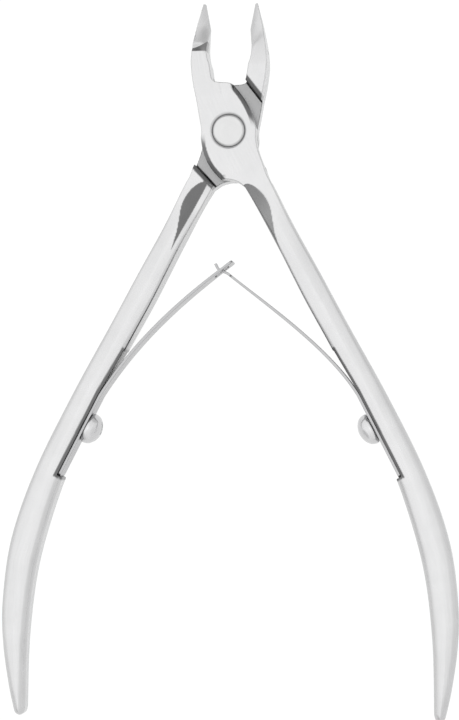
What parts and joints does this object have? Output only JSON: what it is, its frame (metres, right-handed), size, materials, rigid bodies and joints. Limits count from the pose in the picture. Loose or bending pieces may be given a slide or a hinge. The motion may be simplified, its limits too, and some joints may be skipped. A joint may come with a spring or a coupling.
{
  "type": "cuticle nipper",
  "caption": "Lap-jointed cuticle nipper with slim curved handles, short tapered jaws and crossed leaf springs that hold it open.",
  "frame": {"origin": "on the pivot axis, at the underside of the lap joint", "axes": "+Y from the pivot towards the jaw tips, +Z along the pivot axis towards the pin's flush head, +X to the right jaw"},
  "size_m": [0.0764, 0.1198, 0.006],
  "materials": {
    "front_lever_steel": "satin stainless steel",
    "rear_lever_steel": "satin stainless steel",
    "pin_steel": "ground flush, fine circular grain",
    "pivot_screw_steel": "turned steel",
    "spring_steel": "rolled spring steel",
    "spring_screw_steel": "polished"
  },
  "bodies": {
    "rear": {"rear_lever": "rear_lever_steel", "left_spring_screw": "spring_screw_steel"},
    "front": {"front_lever": "front_lever_steel", "pivot_pin": "pin_steel", "pivot_screw": "pivot_screw_steel", "right_spring_screw": "spring_screw_steel"},
    "left_leaf": {"left_spring": "spring_steel"},
    "right_leaf": {"right_spring": "spring_steel"}
  },
  "joints": [
    {"name": "pivot_hinge", "type": "hinge", "parent": "rear", "child": "front", "pos_m": [0, 0, 0.003], "axis": [0, 0, 1], "range_deg": [-21.4, 0], "stiffness_Nm_per_rad": 0.5},
    {"name": "left_leaf_flex", "type": "hinge", "parent": "rear", "child": "left_leaf", "pos_m": [-0.0173, -0.0387, 0.003], "axis": [0, 0, 1], "range_deg": [0, 13], "deforming": ["left_spring"]},
    {"name": "right_leaf_flex", "type": "hinge", "parent": "front", "child": "right_leaf", "pos_m": [0.0177, -0.0387, 0.003], "axis": [0, 0, 1], "range_deg": [-13, 0], "deforming": ["right_spring"]}
  ],
  "couplings": [
    {"joint": "left_leaf_flex", "follows": "pivot_hinge", "ratio": -0.58},
    {"joint": "right_leaf_flex", "follows": "pivot_hinge", "ratio": 0.58}
  ]
}
